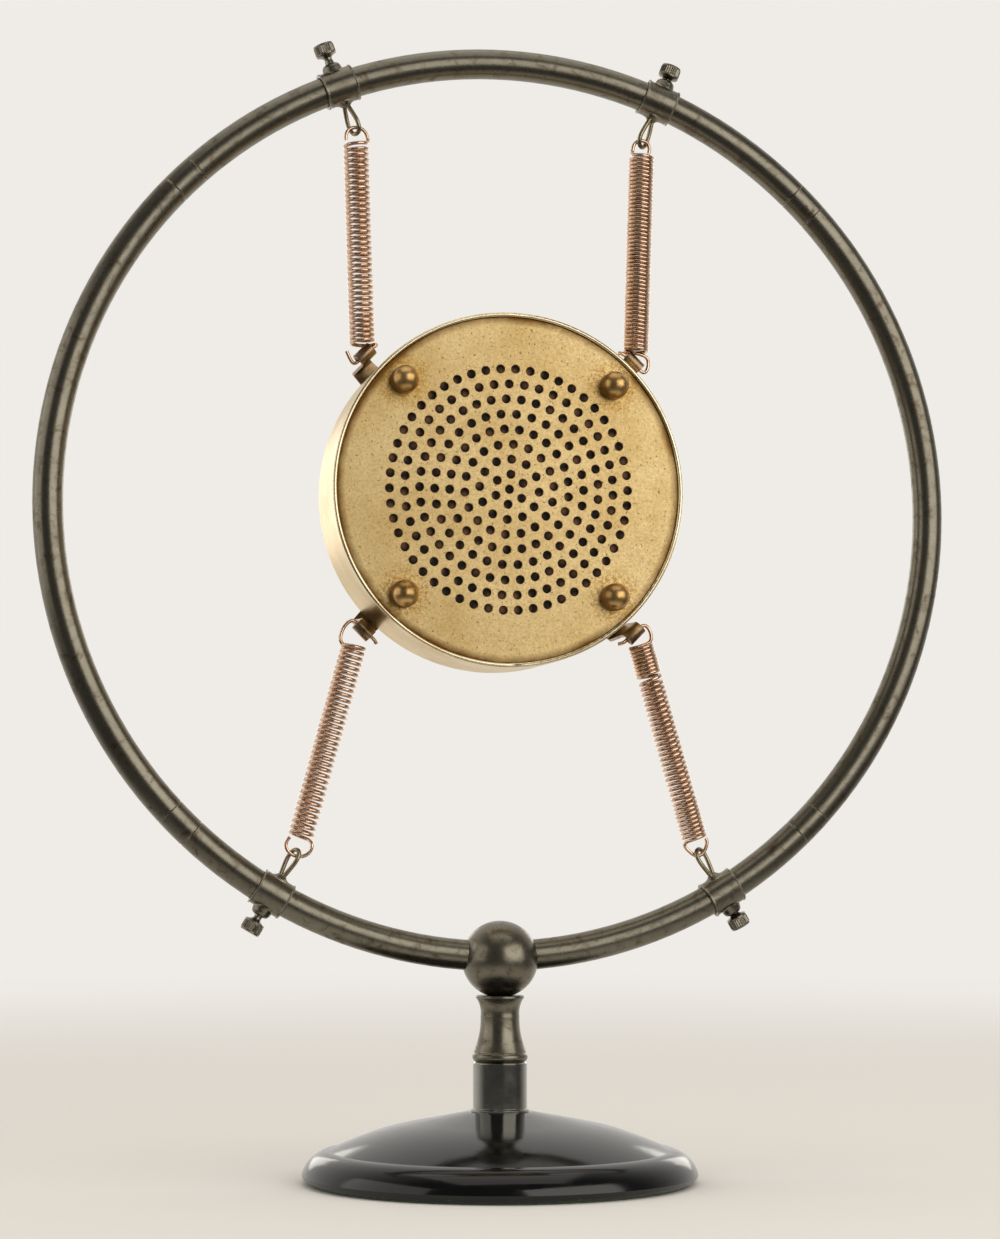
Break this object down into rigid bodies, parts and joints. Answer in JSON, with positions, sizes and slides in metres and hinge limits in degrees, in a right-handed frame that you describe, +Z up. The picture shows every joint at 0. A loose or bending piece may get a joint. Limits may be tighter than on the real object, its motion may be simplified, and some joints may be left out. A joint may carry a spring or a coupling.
{
  "type": "carbon microphone",
  "caption": "Carbon microphone: a perforated round capsule hung on coil springs inside an upright tubular ring, on a turned stem and a domed round base.",
  "frame": {"origin": "centre of the resting face under the base, on the stem's axis", "axes": "+Z up the stem's axis; the perforated front faces -Y; left as seen from the front is -X"},
  "size_m": [0.2464, 0.1036, 0.3014],
  "materials": {
    "black_enamel": "glossy black enamel, chipped at the rim",
    "felt": "dull green felt",
    "black_nickel": "polished dark plating",
    "dark_brass": "oxidised brass with brown wear and bright worn edges",
    "steel": "turned steel",
    "worn_nickel": "worn nickel plate",
    "spring_wire": "drawn phosphor bronze, dulled",
    "gold_brass": "satin lacquered brass with fine dark specks",
    "screen_cloth": "fine brown gauze",
    "brown_brass": "aged brass, browned",
    "plain_brass": "turned brass",
    "duralumin": "thin rolled sheet",
    "carbon": "polished carbon block",
    "granules": "loose black carbon grains",
    "white_felt": "soft undyed felt",
    "hard_rubber": "black insulating moulding",
    "lead_cover": "cotton covering"
  },
  "bodies": {
    "stand": {"base_dome": "black_enamel", "base_felt": "felt", "stem_socket": "black_nickel", "socket_nut": "plain_brass"},
    "ring": {"spindle": "steel", "spindle_washer": "steel", "spindle_nut": "steel", "stem_neck": "dark_brass", "stem_ball": "dark_brass", "ring_right": "dark_brass", "ring_top": "dark_brass", "ring_left": "dark_brass", "ring_bottom": "dark_brass", "ring_joiners": "dark_brass"},
    "clamp_top_left": {"sleeve_top_left": "dark_brass", "eye_top_left": "dark_brass"},
    "thumbscrew_top_left": {"thumbscrew_top_left": "worn_nickel"},
    "spring_top_left": {"spring_top_left": "spring_wire"},
    "clamp_top_right": {"sleeve_top_right": "dark_brass", "eye_top_right": "dark_brass"},
    "thumbscrew_top_right": {"thumbscrew_top_right": "worn_nickel"},
    "spring_top_right": {"spring_top_right": "spring_wire"},
    "clamp_bottom_left": {"sleeve_bottom_left": "dark_brass", "eye_bottom_left": "dark_brass"},
    "thumbscrew_bottom_left": {"thumbscrew_bottom_left": "worn_nickel"},
    "spring_bottom_left": {"spring_bottom_left": "spring_wire"},
    "clamp_bottom_right": {"sleeve_bottom_right": "dark_brass", "eye_bottom_right": "dark_brass"},
    "thumbscrew_bottom_right": {"thumbscrew_bottom_right": "worn_nickel"},
    "spring_bottom_right": {"spring_bottom_right": "spring_wire"},
    "capsule": {"capsule_case": "gold_brass", "front_plate": "gold_brass", "dust_screen": "screen_cloth", "front_clamp_ring": "plain_brass", "diaphragm": "duralumin", "rear_clamp_ring": "plain_brass", "front_electrode": "carbon", "clamp_pillars": "plain_brass", "granule_felt": "white_felt", "carbon_granules": "granules", "rear_electrode": "carbon", "button_cup": "plain_brass", "button_bush": "hard_rubber", "button_stem": "plain_brass", "button_nut": "plain_brass", "through_bolts": "plain_brass", "domed_nuts": "brown_brass", "spring_lugs": "brown_brass", "side_plate": "brown_brass", "terminal_bushes": "hard_rubber", "terminal_posts": "plain_brass", "terminal_nuts": "plain_brass", "inner_leads": "lead_cover"}
  },
  "joints": [
    {"name": "ring_swivel", "type": "hinge", "parent": "stand", "child": "ring", "pos_m": [0, 0, 0.0316], "axis": [0, 0, 1], "continuous": true},
    {"name": "clamp_slide_top_left", "type": "hinge", "parent": "ring", "child": "clamp_top_left", "pos_m": [0, 0, 0.1782], "axis": [0, 1, 0], "range_deg": [-1, 1]},
    {"name": "clamp_slide_top_right", "type": "hinge", "parent": "ring", "child": "clamp_top_right", "pos_m": [0, 0, 0.1782], "axis": [0, 1, 0], "range_deg": [-1, 1]},
    {"name": "clamp_slide_bottom_left", "type": "hinge", "parent": "ring", "child": "clamp_bottom_left", "pos_m": [0, 0, 0.1782], "axis": [0, 1, 0], "range_deg": [-1, 1]},
    {"name": "clamp_slide_bottom_right", "type": "hinge", "parent": "ring", "child": "clamp_bottom_right", "pos_m": [0, 0, 0.1782], "axis": [0, 1, 0], "range_deg": [-1, 1]},
    {"name": "thumbscrew_turn_top_left", "type": "hinge", "parent": "clamp_top_left", "child": "thumbscrew_top_left", "pos_m": [-0.04607, 0, 0.29515], "axis": [-0.3665, 0, 0.9304], "range_deg": [0, 720]},
    {"name": "thumbscrew_turn_top_right", "type": "hinge", "parent": "clamp_top_right", "child": "thumbscrew_top_right", "pos_m": [0.04607, 0, 0.29515], "axis": [0.3665, 0, 0.9304], "range_deg": [0, 720]},
    {"name": "thumbscrew_turn_bottom_left", "type": "hinge", "parent": "clamp_bottom_left", "child": "thumbscrew_bottom_left", "pos_m": [-0.0638, 0, 0.06989], "axis": [-0.5075, 0, -0.8616], "range_deg": [0, 720]},
    {"name": "thumbscrew_turn_bottom_right", "type": "hinge", "parent": "clamp_bottom_right", "child": "thumbscrew_bottom_right", "pos_m": [0.0638, 0, 0.06989], "axis": [0.5075, 0, -0.8616], "range_deg": [0, 720]},
    {"name": "capsule_float", "type": "slide", "parent": "ring", "child": "capsule", "axis": [0, 1, 0], "range_m": [-0.005, 0.005], "stiffness_N_per_m": 190},
    {"name": "spring_swing_top_left", "type": "hinge", "parent": "clamp_top_left", "child": "spring_top_left", "pos_m": [-0.03919, 0, 0.27879], "axis": [0.999, 0, 0.0442], "range_deg": [-4.98, 4.98]},
    {"name": "spring_swing_top_right", "type": "hinge", "parent": "clamp_top_right", "child": "spring_top_right", "pos_m": [0.03919, 0, 0.27879], "axis": [0.999, 0, -0.0442], "range_deg": [-4.98, 4.98]},
    {"name": "spring_swing_bottom_left", "type": "hinge", "parent": "clamp_bottom_left", "child": "spring_bottom_left", "pos_m": [-0.05444, 0, 0.08498], "axis": [-0.9575, 0, 0.2884], "range_deg": [-4.9, 4.9]},
    {"name": "spring_swing_bottom_right", "type": "hinge", "parent": "clamp_bottom_right", "child": "spring_bottom_right", "pos_m": [0.05444, 0, 0.08498], "axis": [-0.9575, 0, -0.2884], "range_deg": [-4.9, 4.9]}
  ],
  "couplings": [
    {"joint": "spring_swing_top_left", "follows": "capsule_float", "rad_per_m": 16.324},
    {"joint": "spring_swing_top_right", "follows": "capsule_float", "rad_per_m": 16.324},
    {"joint": "spring_swing_bottom_left", "follows": "capsule_float", "rad_per_m": 16.058},
    {"joint": "spring_swing_bottom_right", "follows": "capsule_float", "rad_per_m": 16.058}
  ]
}
